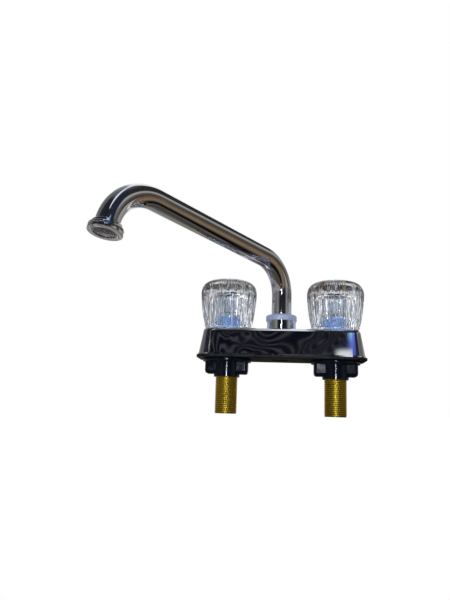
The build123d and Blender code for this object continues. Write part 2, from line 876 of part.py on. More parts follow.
with BuildPart() as spout_orings:
    for height in oring_heights:
        with BuildSketch(upright(0)):
            with Locations((groove_radius + spout_oring_section / 2, height)):
                Circle(spout_oring_section / 2)
        revolve(axis=vertical_axis(0))
save(spout_orings, "spout_orings")


# Spout washer and spout nut: they hold the spout end down in the hub
tube_hole_radius = spout_tube_diameter / 2 + spout_nut_hole_play

with BuildPart() as spout_washer:
    ring(
        0,
        tube_hole_radius,
        hub_neck_diameter / 2 - spout_washer_play,
        neck_top,
        spout_washer_top,
    )
save(spout_washer, "spout_washer")

with BuildPart() as spout_nut:
    crown_bottom = spout_nut_top - spout_nut_crown_height
    turn(0, [
        (tube_hole_radius, spout_washer_top),
        (spout_nut_bore / 2, spout_washer_top),
        (spout_nut_bore / 2, cover_top),
        (spout_nut_skirt_diameter / 2, cover_top),
        (spout_nut_skirt_diameter / 2, crown_bottom),
        (spout_nut_crown_diameter / 2, crown_bottom),
        (spout_nut_crown_diameter / 2, spout_nut_top),
        (tube_hole_radius, spout_nut_top),
    ])
    top_rims = spout_nut.edges().group_by(Axis.Z)[-1].filter_by(GeomType.CIRCLE)
    fillet(top_rims.sort_by(SortBy.RADIUS)[-1], spout_nut_crown_round)
    under_rims = spout_nut.edges().filter_by(GeomType.CIRCLE)
    under_rims = under_rims.filter_by_position(Axis.Z, crown_bottom, crown_bottom)
    fillet(under_rims.sort_by(SortBy.RADIUS)[-1], spout_nut_under_round)
save(spout_nut, "spout_nut")
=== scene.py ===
import json
from math import atan2, cos, hypot, pi, radians, sin, sqrt, tan

import bmesh
import bpy
from mathutils import Matrix, Vector


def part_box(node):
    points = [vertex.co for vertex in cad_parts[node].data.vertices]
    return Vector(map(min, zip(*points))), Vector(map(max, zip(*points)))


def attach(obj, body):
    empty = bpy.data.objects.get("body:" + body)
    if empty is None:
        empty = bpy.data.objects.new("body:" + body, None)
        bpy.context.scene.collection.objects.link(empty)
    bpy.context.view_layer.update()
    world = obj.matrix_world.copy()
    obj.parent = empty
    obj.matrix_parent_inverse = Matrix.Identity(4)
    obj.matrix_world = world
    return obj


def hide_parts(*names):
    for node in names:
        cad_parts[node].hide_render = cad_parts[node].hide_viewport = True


bl_info = {
    "name": "Utility sink faucet",
    "version": (1, 0, 0),
    "blender": (4, 5, 0),
    "location": "3D View > Sidebar > Faucet",
    "description": "Dresses a four inch centreset utility faucet with a swing spout and clear fluted knobs",
    "category": "Object",
}

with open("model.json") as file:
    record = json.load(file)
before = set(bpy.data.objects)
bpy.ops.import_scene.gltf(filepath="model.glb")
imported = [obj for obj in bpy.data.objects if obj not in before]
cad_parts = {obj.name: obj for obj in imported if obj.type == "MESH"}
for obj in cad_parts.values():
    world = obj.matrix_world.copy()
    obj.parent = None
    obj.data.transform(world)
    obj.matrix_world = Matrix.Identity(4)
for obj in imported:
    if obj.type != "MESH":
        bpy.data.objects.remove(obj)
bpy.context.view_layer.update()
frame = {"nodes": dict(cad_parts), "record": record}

MM = 0.001
HALF_SPACING = 50.8 * MM
VALVES = (("hot", -HALF_SPACING), ("cold", HALF_SPACING))
WELD = 0.002 * MM
WEAR = "handled surface"

# Nodes that keep their own shape, by finish: those that occur once, and those that each valve has.
SINGLE_NODES = {
    "spout plate": ("spout_tube",),
    "chrome plate": ("deck_cover",),
    "pressed black": ("base_plate",),
    "machined brass": ("waterway", "spout_end"),
    "natural nylon": ("spout_washer",),
    "black rubber": ("spout_orings",),
}
VALVE_NODES = {
    # Cover nuts: a plate tinted blue, the blue being painted bluish lamplight.
    "plate tinted with painted blue light": ("cover_nut",),
    "moulded black": ("mounting_nut",),
    "machined brass": ("seat", "bonnet", "plunger"),
    # Stems and knob screws: pale blue-white, painted light of the lamps on them.
    "plate tinted with painted pale blue light": ("stem", "knob_screw"),
    "red fibre": ("bonnet_gasket",),
    "black rubber": ("stem_oring", "seat_washer"),
    "plain steel": ("stem_clip", "washer_screw"),
}
DISC_COLOURS = {"hot": (0.55, 0.03, 0.03), "cold": (0.03, 0.10, 0.50)}

# The room that polished metal mirrors, by bearing: 0 and 1 behind the object, 0.5 in front, 0.75 at the right.
WALLS = (
    (0.00, (1.0, 1.0, 1.0)), (0.050, (1.0, 1.0, 1.0)), (0.080, (0.30, 0.30, 0.31)),
    (0.20, (0.13, 0.13, 0.14)), (0.31, (0.11, 0.105, 0.10)), (0.35, (0.16, 0.155, 0.15)),
    (0.385, (0.30, 0.29, 0.27)), (0.413, (0.14, 0.135, 0.13)), (0.430, (0.004, 0.004, 0.010)),
    (0.605, (0.004, 0.005, 0.012)), (0.632, (0.10, 0.10, 0.11)), (0.665, (0.28, 0.28, 0.285)),
    (0.715, (0.40, 0.395, 0.39)), (0.83, (0.34, 0.335, 0.34)), (0.93, (0.26, 0.255, 0.25)),
    (0.965, (1.0, 1.0, 1.0)), (1.00, (1.0, 1.0, 1.0)),
)
SHELVES = (
    (0.34, (0.016, 0.012, 0.010)), (0.44, (0.06, 0.046, 0.036)), (0.49, (0.10, 0.075, 0.05)),
    (0.52, (0.035, 0.026, 0.020)), (0.55, (0.20, 0.10, 0.04)), (0.60, (0.045, 0.036, 0.028)),
    (0.68, (0.08, 0.07, 0.055)),
)
BLUE_LIGHT = (
    (0.00, (0.10, 0.13, 0.55)), (0.45, (0.16, 0.26, 0.90)), (0.75, (0.30, 0.56, 1.0)),
    (1.00, (0.52, 0.76, 1.0)),
)

# The floor that polished metal mirrors, from half a metre at the left to three metres at the right.
FLOOR_SPAN = (-0.5, 3.0)
FLOOR_ACROSS = (
    (0.00, (0.34, 0.33, 0.32)), (0.085, (0.30, 0.29, 0.275)), (0.110, (0.24, 0.23, 0.215)),
    (0.124, (0.19, 0.18, 0.165)), (0.129, (0.055, 0.052, 0.045)), (0.137, (0.05, 0.047, 0.04)),
    (0.142, (0.11, 0.10, 0.095)), (0.1515, (0.12, 0.11, 0.10)), (0.1555, (0.003, 0.002, 0.002)),
    (0.172, (0.003, 0.002, 0.002)), (0.179, (0.03, 0.022, 0.018)), (0.188, (0.07, 0.052, 0.042)),
    (0.203, (0.16, 0.13, 0.105)), (0.240, (0.25, 0.175, 0.11)), (0.34, (0.20, 0.14, 0.085)),
    (0.49, (0.15, 0.11, 0.07)), (1.00, (0.12, 0.085, 0.05)),
)

# Camera and lamps: place in millimetres, angles in degrees.
CAMERA = {"place": (2.0, -556.0, -47.8), "yaw": 5.83, "pitch": 10.65, "roll": 1.9}
FOCAL_PIXELS, PICTURE_HEIGHT, SENSOR = 585.9, 600.0, 36.0
LAMP_AIM = (0, 0, 0.03)


class FaucetSizes(bpy.types.PropertyGroup):
    """Sizes of the forms that are finer than the frame."""

    pipe_pitch: bpy.props.FloatProperty(
        name="Pipe thread pitch", description="Rise of the shank thread in one turn",
        default=25.4 / 14 * MM, subtype="DISTANCE")
    pipe_depth: bpy.props.FloatProperty(
        name="Pipe thread depth", description="Depth of the shank thread",
        default=0.75 * MM, subtype="DISTANCE")
    knurl_count: bpy.props.IntProperty(
        name="Knurls", description="Knurls round the crown of the spout nut", default=36, min=12)
    knurl_depth: bpy.props.FloatProperty(
        name="Knurl depth", description="Depth of the knurls on the spout nut",
        default=0.5 * MM, subtype="DISTANCE")
    prism_count: bpy.props.IntProperty(
        name="Prisms", description="Upright prisms round the inside of a knob", default=48, min=12)
    prism_depth: bpy.props.FloatProperty(
        name="Prism depth", description="Depth of the prisms inside a knob",
        default=0.5 * MM, subtype="DISTANCE")
    ridge_count: bpy.props.IntProperty(
        name="Ridges", description="Fine ridges round the outside of a knob", default=64, min=16)
    ridge_depth: bpy.props.FloatProperty(
        name="Ridge depth", description="Depth of the ridges outside a knob",
        default=0.3 * MM, subtype="DISTANCE")


class FaucetColours(bpy.types.PropertyGroup):
    """Colours of the finishes."""

    chrome: bpy.props.FloatVectorProperty(
        name="Chrome", description="Colour of the plated surfaces",
        default=(0.80, 0.80, 0.81), size=3, subtype="COLOR", min=0, max=1)
    brass: bpy.props.FloatVectorProperty(
        name="Brass", description="Colour of the bare brass",
        default=(0.92, 0.70, 0.10), size=3, subtype="COLOR", min=0, max=1)
    plastic: bpy.props.FloatVectorProperty(
        name="Black plastic", description="Colour of the base plate and mounting nuts",
        default=(0.002, 0.003, 0.008), size=3, subtype="COLOR", min=0, max=1)
    floor: bpy.props.FloatVectorProperty(
        name="Floor", description="Colour of the floor",
        default=(0.90, 0.89, 0.87), size=3, subtype="COLOR", min=0, max=1)


def make_piece(bm, name, body, material, nodes, smooth_angle=35):
    """Turn a finished bmesh into a piece that stands for its nodes and rides on its body."""
    bmesh.ops.remove_doubles(bm, verts=bm.verts, dist=WELD)
    bmesh.ops.dissolve_degenerate(bm, dist=0.001 * MM, edges=bm.edges)
    bmesh.ops.recalc_face_normals(bm, faces=bm.faces)
    open_edges = [e for e in bm.edges if not e.is_manifold]
    if open_edges:
        raise RuntimeError(f"{name} isn't closed: {len(open_edges)} edges")
    for face in bm.faces:
        face.smooth = True
    for edge in bm.edges:
        edge.smooth = edge.calc_face_angle(0) < radians(smooth_angle)
    mesh = bpy.data.meshes.new(name)
    bm.to_mesh(mesh)
    bm.free()
    piece = bpy.data.objects.new(name, mesh)
    bpy.context.scene.collection.objects.link(piece)
    mesh.materials.append(bpy.data.materials[material])
    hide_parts(*nodes)
    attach(piece, body)
    return piece


def spun_outline(points, centre, steps):
    """A bmesh of a closed outline of radius and height points, turned once round an upright axis."""
    bm = bmesh.new()
    corners = [bm.verts.new((centre + r, 0, z)) for r, z in points]
    for first, second in zip(corners, corners[1:] + corners[:1]):
        bm.edges.new((first, second))
    bmesh.ops.spin(
        bm, geom=bm.verts[:] + bm.edges[:], cent=(centre, 0, 0), axis=(0, 0, 1), dvec=(0, 0, 0),
        angle=2 * pi, steps=steps, use_merge=True, use_duplicate=False)
    bmesh.ops.remove_doubles(bm, verts=bm.verts, dist=WELD)
    return bm


def arc_points(centre, radius, start, end, count):
    """Points along an arc in an outline, angles in degrees."""
    return [
        (centre[0] + radius * cos(radians(start + (end - start) * k / count)),
         centre[1] + radius * sin(radians(start + (end - start) * k / count)))
        for k in range(count + 1)
    ]


def teeth(angle, count):
    """A triangle wave round a full turn, from nought to one and back for each tooth."""
    return abs((angle * count / (2 * pi)) % 1.0 - 0.5) * 2


def node_input(nodes, kind, **values):
    """Add a shader node and set its unlinked values."""
    node = nodes.new(kind)
    for key, value in values.items():
        if key in node.inputs:
            node.inputs[key].default_value = value
        else:
            setattr(node, key, value)
    return node


def reckon(nodes, links, operation, first, second=None):
    """A Math node over one or two values, each a socket or a number."""
    node = node_input(nodes, "ShaderNodeMath", operation=operation)
    for socket, value in zip(node.inputs, (first, second)):
        if isinstance(value, bpy.types.NodeSocket):
            links.new(value, socket)
        elif value is not None:
            socket.default_value = value
    return node.outputs[0]


def product(nodes, links, first, second):
    """Two values multiplied."""
    return reckon(nodes, links, "MULTIPLY", first, second)


def ranged(nodes, links, value, low, high, to_low=0.0, to_high=1.0, smooth=True):
    """Map a value from one range to another, smoothly or along a straight line."""
    node = node_input(nodes, "ShaderNodeMapRange", interpolation_type="SMOOTHSTEP" if smooth else "LINEAR")
    for key, limit in (("From Min", low), ("From Max", high), ("To Min", to_low), ("To Max", to_high)):
        node.inputs[key].default_value = limit
    links.new(value, node.inputs["Value"])
    return node.outputs["Result"]


def window(nodes, links, value, first, second, third, fourth):
    """One from second to third, nought outside first and fourth."""
    return product(nodes, links, ranged(nodes, links, value, first, second),
                   ranged(nodes, links, value, fourth, third))


def blend_colours(nodes, links, factor, first, second, kind="MIX"):
    """Mix two colours, each a socket or three numbers."""
    mix = node_input(nodes, "ShaderNodeMix", data_type="RGBA", blend_type=kind)
    for socket, value in ((mix.inputs[0], factor), (mix.inputs[6], first), (mix.inputs[7], second)):
        if isinstance(value, bpy.types.NodeSocket):
            links.new(value, socket)
        elif isinstance(value, tuple):
            socket.default_value = (*value, 1)
        else:
            socket.default_value = value
    return mix.outputs[2]


def shade_ramp(nodes, links, value, stops):
    """A colour ramp over a value, with its stops as place and colour."""
    ramp = nodes.new("ShaderNodeValToRGB")
    while len(ramp.color_ramp.elements) < len(stops):
        ramp.color_ramp.elements.new(0.5)
    for element, (where, colour) in zip(ramp.color_ramp.elements, stops):
        element.position = where
        element.color = (*colour, 1)
    links.new(value, ramp.inputs["Fac"])
    return ramp.outputs["Color"]


def cover_over(nodes, links, ground, layers):
    """Lay masks and their colours over a ground colour, one after the other."""
    for mask, colour in layers:
        ground = blend_colours(nodes, links, mask, ground, colour)
    return ground


def separated(nodes, links, vector):
    """The X, Y and Z of a vector."""
    apart = nodes.new("ShaderNodeSeparateXYZ")
    links.new(vector, apart.inputs["Vector"])
    return apart.outputs["X"], apart.outputs["Y"], apart.outputs["Z"]


def off_axis(nodes, links, across, along):
    """Distance from an upright axis, from two level values."""
    flat = nodes.new("ShaderNodeCombineXYZ")
    links.new(across, flat.inputs["X"])
    links.new(along, flat.inputs["Y"])
    span = node_input(nodes, "ShaderNodeVectorMath", operation="LENGTH")
    links.new(flat.outputs["Vector"], span.inputs[0])
    return span.outputs["Value"]


def shader_mix(nodes, links, factor, first, second):
    """Two shaders mixed by a factor."""
    mix = nodes.new("ShaderNodeMixShader")
    for socket, value in zip(mix.inputs, (factor, first, second)):
        links.new(value, socket)
    return mix.outputs[0]


def make_wear_group():
    """Node group: soft blotches and fine scratches, for the roughness and relief of any finish."""
    group = bpy.data.node_groups.new(WEAR, "ShaderNodeTree")
    interface = group.interface
    for name, default in (("Blotch Scale", 60.0), ("Grain Scale", 900.0), ("Low", 0.05), ("High", 0.15)):
        socket = interface.new_socket(name, in_out="INPUT", socket_type="NodeSocketFloat")
        socket.default_value = default
    for name in ("Mask", "Roughness", "Height"):
        interface.new_socket(name, in_out="OUTPUT", socket_type="NodeSocketFloat")
    nodes, links = group.nodes, group.links
    entry = nodes.new("NodeGroupInput")
    leave = nodes.new("NodeGroupOutput")
    place = nodes.new("ShaderNodeTexCoord")
    blotch = node_input(nodes, "ShaderNodeTexNoise", Detail=3.0)
    grain = node_input(nodes, "ShaderNodeTexNoise", Detail=2.0)
    for noise, scale in ((blotch, "Blotch Scale"), (grain, "Grain Scale")):
        links.new(place.outputs["Object"], noise.inputs["Vector"])
        links.new(entry.outputs[scale], noise.inputs["Scale"])
    spread = nodes.new("ShaderNodeMapRange")
    spread.inputs["From Min"].default_value = 0.35
    spread.inputs["From Max"].default_value = 0.65
    links.new(blotch.outputs["Fac"], spread.inputs["Value"])
    links.new(entry.outputs["Low"], spread.inputs["To Min"])
    links.new(entry.outputs["High"], spread.inputs["To Max"])
    links.new(blotch.outputs["Fac"], leave.inputs["Mask"])
    links.new(spread.outputs["Result"], leave.inputs["Roughness"])
    links.new(grain.outputs["Fac"], leave.inputs["Height"])


def make_finish(name, colour, shade, metallic=0.0, roughness=(0.05, 0.15), blotch=60.0, grain=900.0,
                relief=0.05, transmission=0.0, ior=1.5, specular=0.5):
    """A finish whose colour, roughness and relief vary over the surface."""
    material = bpy.data.materials.new(name)
    material.use_nodes = True
    nodes, links = material.node_tree.nodes, material.node_tree.links
    surface = nodes["Principled BSDF"]
    for key, value in (("Metallic", metallic), ("Transmission Weight", transmission), ("IOR", ior),
                       ("Specular IOR Level", specular)):
        surface.inputs[key].default_value = value
    wear = nodes.new("ShaderNodeGroup")
    wear.node_tree = bpy.data.node_groups[WEAR]
    for key, value in (("Blotch Scale", blotch), ("Grain Scale", grain), ("Low", roughness[0]),
                       ("High", roughness[1])):
        wear.inputs[key].default_value = value
    bump = node_input(nodes, "ShaderNodeBump", Strength=relief, Distance=0.2 * MM)
    links.new(blend_colours(nodes, links, wear.outputs["Mask"], colour, shade), surface.inputs["Base Color"])
    links.new(wear.outputs["Roughness"], surface.inputs["Roughness"])
    links.new(wear.outputs["Height"], bump.inputs["Height"])
    links.new(bump.outputs["Normal"], surface.inputs["Normal"])
    return material


def recolour(material, mask, colour):
    """Blend a colour over a finish where a mask says so."""
    nodes, links = material.node_tree.nodes, material.node_tree.links
    entry = nodes["Principled BSDF"].inputs["Base Color"]
    links.new(blend_colours(nodes, links, mask, entry.links[0].from_socket, colour), entry)


def paint_shade_in_roots(material, colour, crest, root):
    """Paint shade into a thread towards its root, by the distance from the nearer shank's axis."""
    nodes, links = material.node_tree.nodes, material.node_tree.links
    place = nodes.new("ShaderNodeTexCoord")
    x, y, _ = separated(nodes, links, place.outputs["Object"])
    across = reckon(nodes, links, "SUBTRACT", reckon(nodes, links, "ABSOLUTE", x), HALF_SPACING)
    recolour(material, ranged(nodes, links, off_axis(nodes, links, across, y), crest, root), colour)


def inside_of(material, centre, turned, radius, above):
    """A mask that is one within a radius of an axis through a centre, and above a height along it."""
    nodes, links = material.node_tree.nodes, material.node_tree.links
    place = nodes.new("ShaderNodeTexCoord")
    moved = node_input(nodes, "ShaderNodeMapping", vector_type="TEXTURE", Location=centre, Rotation=turned)
    links.new(place.outputs["Object"], moved.inputs["Vector"])
    x, y, z = separated(nodes, links, moved.outputs["Vector"])
    near = reckon(nodes, links, "LESS_THAN", off_axis(nodes, links, x, y), radius)
    return product(nodes, links, near, reckon(nodes, links, "GREATER_THAN", z, above))


def dull_bore(material, mask, colour):
    """Make a polished finish dull and matt where a mask says so."""
    nodes, links = material.node_tree.nodes, material.node_tree.links
    surface = nodes["Principled BSDF"]
    rough = surface.inputs["Roughness"].links[0].from_socket
    recolour(material, mask, colour)
    for name, before, after in (("Metallic", 1.0, 0.3), ("Roughness", rough, 0.45)):
        change = nodes.new("ShaderNodeMix")
        change.inputs[3].default_value = after
        links.new(mask, change.inputs[0])
        if isinstance(before, float):
            change.inputs[2].default_value = before
        else:
            links.new(before, change.inputs[2])
        links.new(change.outputs[0], surface.inputs[name])


def dress(material, *names):
    """Give carried-over nodes their finish."""
    for name in names:
        slots = frame["nodes"][name].data.materials
        slots.clear()
        slots.append(bpy.data.materials[material])


def mouth_of_spout():
    """Centre of the outlet at rest, and the way that the water leaves it."""
    swing, lean, setback = radians(51.0), radians(11.5), 2.5 * MM
    flow = Vector((-cos(swing) * sin(lean), -sin(swing) * sin(lean), -cos(lean)))
    mount = next(m for m in frame["record"]["mounts"] if m["name"] == "hose_outlet")
    return Vector(mount["pos_m"]) + setback * flow, flow


class FAUCET_OT_finishes(bpy.types.Operator):
    """Make the finishes and put them on the nodes that keep their own shape"""

    bl_idname = "faucet.finishes"
    bl_label = "Finishes"

    def execute(self, context):
        colours = context.scene.faucet_colours
        chrome, brass, plastic = tuple(colours.chrome), tuple(colours.brass), tuple(colours.plastic)
        make_wear_group()
        self.make_metals(chrome, brass)
        self.make_plastics(plastic)
        for finish, names in SINGLE_NODES.items():
            dress(finish, *names)
        for side, x in VALVES:
            button = make_finish(f"{side} index", (0.74, 0.76, 0.79), (0.66, 0.68, 0.72),
                                 roughness=(0.15, 0.28))
            disc = inside_of(button, (x, 0, 75.0 * MM), (0, 0, 0), 5.5 * MM, 0.0)
            recolour(button, disc, DISC_COLOURS[side])
            dress(f"{side} index", f"{side}_button")
            for finish, names in VALVE_NODES.items():
                dress(finish, *(f"{side}_{name}" for name in names))
        return {"FINISHED"}

    def make_metals(self, chrome, brass):
        """Plated, brass and steel finishes, with painted blue lamplight in some plates and painted shade in
        the thread roots.
        """
        worn_chrome, worn_brass = (0.70, 0.70, 0.72), (0.76, 0.54, 0.06)
        make_finish("chrome plate", chrome, worn_chrome, metallic=1.0, roughness=(0.015, 0.04),
                    blotch=45.0, grain=35.0, relief=0.06)
        spout = make_finish("spout plate", chrome, worn_chrome, metallic=1.0, roughness=(0.025, 0.06),
                            blotch=45.0, grain=35.0, relief=0.06)
        mouth, flow = mouth_of_spout()
        turned = Vector((0, 0, 1)).rotation_difference(flow).to_euler()
        bore = inside_of(spout, mouth, turned, 9.0 * MM, -13 * MM)
        dull_bore(spout, bore, (0.30, 0.295, 0.29))
        # The crown's lavender blue is painted reflected lamplight, not a colour of the plate.
        make_finish("knurled plate tinted with painted blue light", (0.60, 0.68, 0.90), (0.26, 0.31, 0.46), metallic=0.45,
                    roughness=(0.34, 0.5), blotch=520.0, grain=1600.0, relief=0.3)
        # Painted bluish lamplight on the cover nuts, put into the plate's colour.
        make_finish("plate tinted with painted blue light", (0.34, 0.50, 0.78), (0.17, 0.29, 0.56), metallic=0.4,
                    roughness=(0.12, 0.26), blotch=260.0, grain=900.0, relief=0.1)
        # Painted bright bluish lamplight on the stems and knob screws, put into the plate's colour.
        make_finish("plate tinted with painted pale blue light", (0.84, 0.93, 1.0), (0.60, 0.76, 1.0), metallic=0.25,
                    roughness=(0.12, 0.26), blotch=260.0, grain=900.0, relief=0.1)
        make_finish("machined brass", brass, worn_brass, metallic=1.0, roughness=(0.26, 0.32),
                    blotch=40.0, grain=1500.0, relief=0.02)
        threaded = make_finish("threaded brass", brass, worn_brass, metallic=1.0, roughness=(0.42, 0.48),
                               blotch=40.0, grain=1500.0, relief=0.0)
        # Painted shade in the thread roots, darker towards the root.
        paint_shade_in_roots(threaded, (0.44, 0.30, 0.035), 10.35 * MM, 9.85 * MM)
        make_finish("plain steel", (0.62, 0.62, 0.63), (0.48, 0.48, 0.49), metallic=1.0,
                    roughness=(0.2, 0.4), blotch=200.0)

    def make_plastics(self, plastic):
        """Plastic, rubber, fibre and acrylic finishes."""
        make_finish("moulded black", plastic, (0.004, 0.006, 0.014), roughness=(0.10, 0.20),
                    blotch=120.0, grain=1400.0, relief=0.05, specular=0.22)
        make_finish("pressed black", plastic, (0.008, 0.008, 0.009), roughness=(0.45, 0.6),
                    blotch=120.0, grain=1400.0, relief=0.2, specular=0.2)
        make_finish("clear acrylic", (0.87, 0.885, 0.905), (0.82, 0.835, 0.86), roughness=(0.0, 0.03),
                    transmission=1.0, ior=1.49, blotch=80.0, grain=120.0, relief=0.03)
        make_finish("black rubber", (0.02, 0.02, 0.02), (0.04, 0.04, 0.04), roughness=(0.55, 0.8))
        make_finish("red fibre", (0.35, 0.12, 0.08), (0.22, 0.07, 0.05), roughness=(0.6, 0.85))
        make_finish("natural nylon", (0.85, 0.84, 0.80), (0.74, 0.73, 0.68), roughness=(0.35, 0.5))


class FAUCET_OT_shanks(bpy.types.Operator):
    """Make the two shanks with their helical pipe thread"""

    bl_idname = "faucet.shanks"
    bl_label = "Threaded shanks"

    def execute(self, context):
        for side, x in VALVES:
            low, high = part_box(f"{side}_shank")
            low.z += 0.001 * MM
            crest = (high.x - low.x) / 2
            bm = self.wind_thread(context.scene.faucet_sizes, x, crest, low.z, high.z)
            self.chamfer_foot(bm, x, crest, low.z)
            self.close_over_bore(bm, x, low.z, high.z)
            make_piece(bm, f"{side}_threaded_shank", "root", "threaded brass", [f"{side}_shank"])
        return {"FINISHED"}

    def wind_thread(self, sizes, x, crest, foot, head):
        """Wind a line of thread profiles up by one pitch round the axis, and trim it to its height."""
        pitch, root, steps = sizes.pipe_pitch, crest - sizes.pipe_depth, 120
        profile = ((crest, 0.0), (crest, 0.2), (root, 0.55), (root, 0.65))
        spare_turns = 4
        line = []
        for turn in range(int((head - foot) / pitch) + spare_turns):
            start = foot - 2 * pitch + turn * pitch
            line += [(radius, start + share * pitch) for radius, share in profile]
        bm = bmesh.new()
        corners = [bm.verts.new((x + r, 0, z)) for r, z in line]
        for first, second in zip(corners, corners[1:]):
            bm.edges.new((first, second))
        bmesh.ops.spin(
            bm, geom=bm.verts[:] + bm.edges[:], cent=(x, 0, 0), axis=(0, 0, 1),
            dvec=(0, 0, pitch / steps), angle=2 * pi, steps=steps, use_merge=False,
            use_duplicate=False)
        bmesh.ops.remove_doubles(bm, verts=bm.verts, dist=WELD)
        for height, keep_above in ((foot, True), (head, False)):
            bmesh.ops.bisect_plane(
                bm, geom=bm.verts[:] + bm.edges[:] + bm.faces[:], dist=0.0001 * MM,
                plane_co=(x, 0, height), plane_no=(0, 0, 1),
                clear_outer=not keep_above, clear_inner=keep_above)
        return bm

    def chamfer_foot(self, bm, x, crest, foot, chamfer=0.8 * MM):
        """Draw in what stands outside a chamfer at the foot."""
        for vert in bm.verts:
            flat = Vector((vert.co.x - x, vert.co.y))
            limit = crest - max(0.0, chamfer - (vert.co.z - foot))
            if flat.length > limit:
                flat *= limit / flat.length
                vert.co.x, vert.co.y = x + flat.x, flat.y

    def close_over_bore(self, bm, x, foot, head, bore=7.5 * MM):
        """Add the wall of the bore, and fill both ends between it and the thread."""
        near = 0.01 * MM
        rims = [e for e in bm.edges if e.is_boundary]
        foot_rim = [e for e in rims if abs(e.verts[0].co.z - foot) < near]
        head_rim = [e for e in rims if abs(e.verts[0].co.z - head) < near]
        ring = bmesh.ops.create_circle(
            bm, cap_ends=False, segments=64, radius=bore, matrix=Matrix.Translation((x, 0, foot)))
        lower = list({e for v in ring["verts"] for e in v.link_edges})
        wall = bmesh.ops.extrude_edge_only(bm, edges=lower)["geom"]
        upper_verts = [g for g in wall if isinstance(g, bmesh.types.BMVert)]
        upper = [g for g in wall if isinstance(g, bmesh.types.BMEdge)
                 and all(v in upper_verts for v in g.verts)]
        bmesh.ops.translate(bm, verts=upper_verts, vec=(0, 0, head - foot))
        bmesh.ops.triangle_fill(bm, use_beauty=True, edges=foot_rim + lower, normal=(0, 0, -1))
        bmesh.ops.triangle_fill(bm, use_beauty=True, edges=head_rim + upper, normal=(0, 0, 1))


class FAUCET_OT_spout_nut(bpy.types.Operator):
    """Make the spout nut with its knurled crown"""

    bl_idname = "faucet.spout_nut"
    bl_label = "Knurled spout nut"

    def execute(self, context):
        sizes = context.scene.faucet_sizes
        low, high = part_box("spout_nut")
        crown, skirt, neck, hole = (high.x - low.x) / 2, 13.7 * MM, 12.45 * MM, 9.825 * MM
        crown_foot, seat = high.z - 5.8 * MM, 38.5 * MM
        under, over, rows = 0.7 * MM, 1.8 * MM, 9
        start, end = crown_foot + under, high.z - over
        bead = arc_points((crown - under, start), under, -90, 0, 3)
        bead += [(crown, start + (end - start) * k / rows) for k in range(1, rows)]
        bead += arc_points((crown - over, end), over, 0, 90, 6)
        points = [(hole, seat), (neck, seat), (neck, low.z), (skirt, low.z), (skirt, crown_foot)]
        points += bead + [(hole, high.z)]
        bm = spun_outline(points, 0, 4 * sizes.knurl_count)
        middle, half, knurled_band = (crown_foot + high.z) / 2, (high.z - crown_foot) / 2, 1.2 * MM
        for vert in bm.verts:
            radius = hypot(vert.co.x, vert.co.y)
            if radius < crown - knurled_band or vert.co.z < crown_foot:
                continue
            angle = sizes.knurl_count * atan2(vert.co.y, vert.co.x)
            rise = (vert.co.z - middle) / half * 2 * pi
            cut = max(0.5 - 0.5 * cos(angle + rise), 0.5 - 0.5 * cos(angle - rise)) * sizes.knurl_depth
            vert.co.x *= (radius - cut) / radius
            vert.co.y *= (radius - cut) / radius
        for face in bm.faces:
            centre = face.calc_center_median()
            if centre.z > crown_foot and hypot(centre.x, centre.y) > skirt - 1.0 * MM:
                face.material_index = 1
        nut = make_piece(bm, "knurled_spout_nut", "root", "chrome plate", ["spout_nut"], 50)
        # The crown's faces take the plate tinted blue as painted reflected lamplight.
        nut.data.materials.append(bpy.data.materials["knurled plate tinted with painted blue light"])
        return {"FINISHED"}


class FAUCET_OT_hose_end(bpy.types.Operator):
    """Make the hose end with its collar, thread groove and rim"""

    bl_idname = "faucet.hose_end"
    bl_label = "Hose end"

    def execute(self, context):
        mouth, flow = mouth_of_spout()
        tube, collar, thread, root, rim = 9.575, 11.4, 13.49, 12.35, 9.0
        outline = (
            (tube, 8.0), (collar - 0.6, 8.0), (collar, 7.4), (collar, 5.0),
            (thread - 0.5, 5.0), (thread - 0.15, 4.7), (thread, 4.4), (thread, 3.5), (thread - 0.2, 3.2),
            (root, 3.0), (root, 2.6),
            (thread - 0.2, 2.4), (thread, 2.1), (thread, 0.5), (thread - 0.15, 0.15), (thread - 0.5, 0.0),
            (rim + 0.3, 0.0), (rim, 0.3), (rim, 1.5), (tube, 1.5),
        )
        bm = spun_outline([(radius * MM, height * MM) for radius, height in outline], 0, 128)
        turned = Vector((0, 0, -1)).rotation_difference(flow).to_matrix().to_4x4()
        bmesh.ops.transform(bm, matrix=Matrix.Translation(mouth) @ turned, verts=bm.verts)
        make_piece(bm, "threaded_hose_end", "spout", "chrome plate", ["hose_fitting"], 30)
        return {"FINISHED"}


